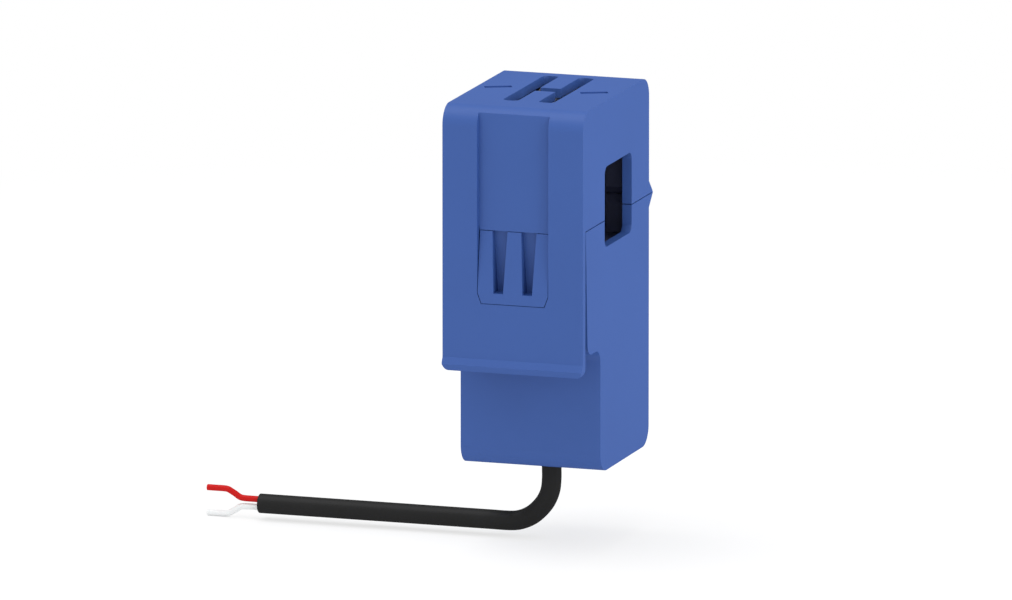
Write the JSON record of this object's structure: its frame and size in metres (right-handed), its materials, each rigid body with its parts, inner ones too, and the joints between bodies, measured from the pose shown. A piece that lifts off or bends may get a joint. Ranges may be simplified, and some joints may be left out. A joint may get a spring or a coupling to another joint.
{
  "type": "current transformer",
  "caption": "Clip-on split-core current transformer: blue two-part housing with a hinged jaw, front spring latch, rectangular conductor window and short two-core lead.",
  "frame": {"origin": "centre of the rectangular conductor window, midway between the two side faces", "axes": "+X along the conductor that passes through the window, -Y towards the latch plate, +Z from the cable end up to the slotted roof"},
  "size_m": [0.0664, 0.0348, 0.0699],
  "materials": {
    "housing_plastic": "mid-blue moulded plastic with a fine satin grain",
    "liner_plastic": "black insulating plastic, matt",
    "ferrite": "dark grey ferrite, ground on the pole faces",
    "spring_steel": "bright rolled spring steel",
    "copper": "enamelled copper wire",
    "tape": "yellow polyester tape",
    "tinned_metal": "tinned brass",
    "board": "green glass-fibre board",
    "resistor_body": "beige lacquer",
    "diode_body": "black moulded body",
    "grommet_rubber": "black rubber",
    "nylon": "natural nylon",
    "jacket": "black PVC jacket, satin",
    "red_insulation": "red PVC insulation",
    "white_insulation": "white PVC insulation"
  },
  "bodies": {
    "lower": {"lower_housing": "housing_plastic", "lower_liner": "liner_plastic", "lower_retainer": "liner_plastic", "lower_core": "ferrite", "bobbin_upper": "liner_plastic", "bobbin_lower": "liner_plastic", "secondary_winding": "copper", "winding_tape": "tape", "terminal_pins": "tinned_metal", "circuit_board": "board", "burden_resistor": "resistor_body", "clamp_diode": "diode_body", "red_lead": "red_insulation", "white_lead": "white_insulation", "cable_grommet": "grommet_rubber", "cable_tie": "nylon", "cable_jacket": "jacket", "red_wire": "red_insulation", "white_wire": "white_insulation"},
    "upper": {"upper_housing": "housing_plastic", "upper_liner": "liner_plastic", "upper_retainer": "liner_plastic", "upper_core": "ferrite", "leaf_spring": "spring_steel"},
    "latch": {"latch_plate": "housing_plastic"}
  },
  "joints": [
    {"name": "jaw_hinge", "type": "hinge", "parent": "lower", "child": "upper", "pos_m": [0, 0.0168, -0.002], "axis": [-1, 0, 0], "range_deg": [0, 120]},
    {"name": "latch_flex", "type": "hinge", "parent": "upper", "child": "latch", "pos_m": [0, -0.0166, -0.002], "axis": [-1, 0, 0], "range_deg": [0, 8], "stiffness_Nm_per_rad": 0.3}
  ]
}
